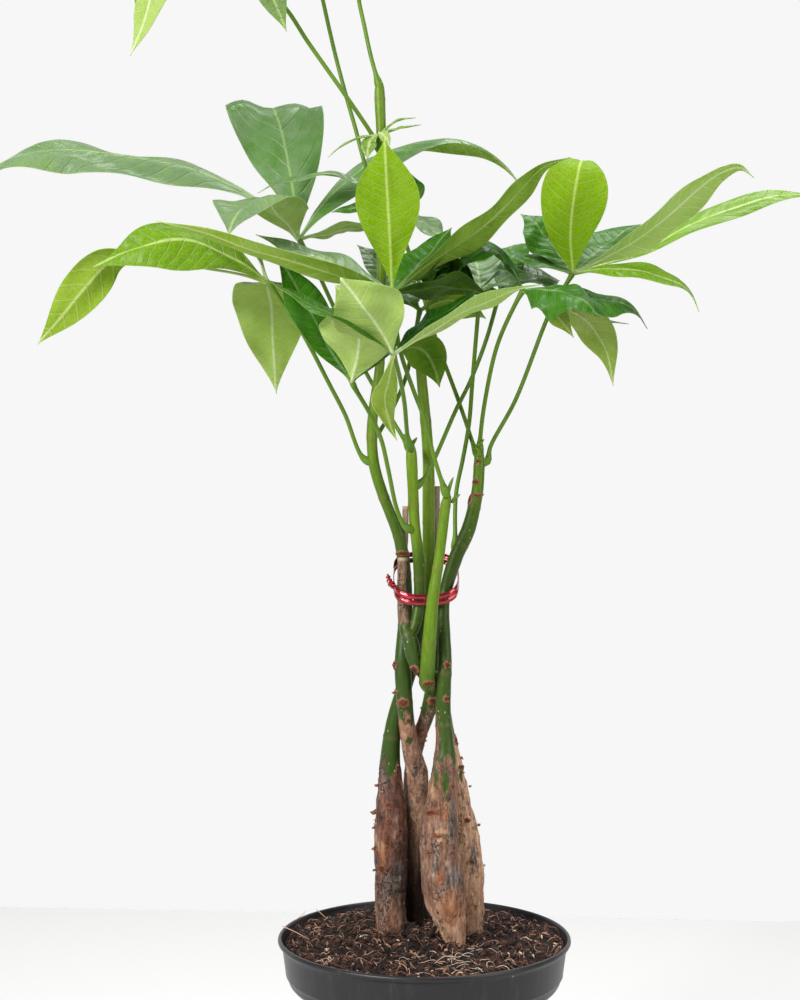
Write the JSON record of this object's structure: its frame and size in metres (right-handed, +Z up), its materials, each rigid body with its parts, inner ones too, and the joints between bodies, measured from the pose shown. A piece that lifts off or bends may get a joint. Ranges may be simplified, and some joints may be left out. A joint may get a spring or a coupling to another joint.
{
  "type": "potted money tree",
  "caption": "Money tree with braided swollen trunks, palmate green leaves and a red foil tie, in a dark grey plastic nursery pot filled with soil.",
  "frame": {"origin": "centre of the pot's flat base, on the surface it stands on", "axes": "+Z up along the pot's axis, +X to the right and -Y towards the viewer of the picture"},
  "size_m": [0.5019, 0.2405, 0.7875],
  "materials": {
    "pot_plastic": "satin",
    "peat": "matte",
    "bark": "matte",
    "foliage": "satin",
    "red_foil": "gloss"
  },
  "bodies": {
    "root": {"pot": "pot_plastic", "soil": "peat", "trunk_left": "bark", "trunk_middle": "bark", "trunk_front": "bark", "trunk_right": "bark", "trunk_back": "bark", "tie": "red_foil", "leaf_middle": "foliage", "leaf_front": "foliage", "leaf_lower_left": "foliage", "leaf_left": "foliage", "leaf_upper_left": "foliage", "leaf_inner": "foliage", "leaf_right": "foliage", "leaf_lower_right": "foliage", "leaf_behind": "foliage", "leaf_inner_right": "foliage", "leaf_inner_left": "foliage", "leaf_top_left": "foliage", "leaf_top_back": "foliage", "leaf_top_right": "foliage", "leaf_young": "foliage"}
  },
  "joints": []
}
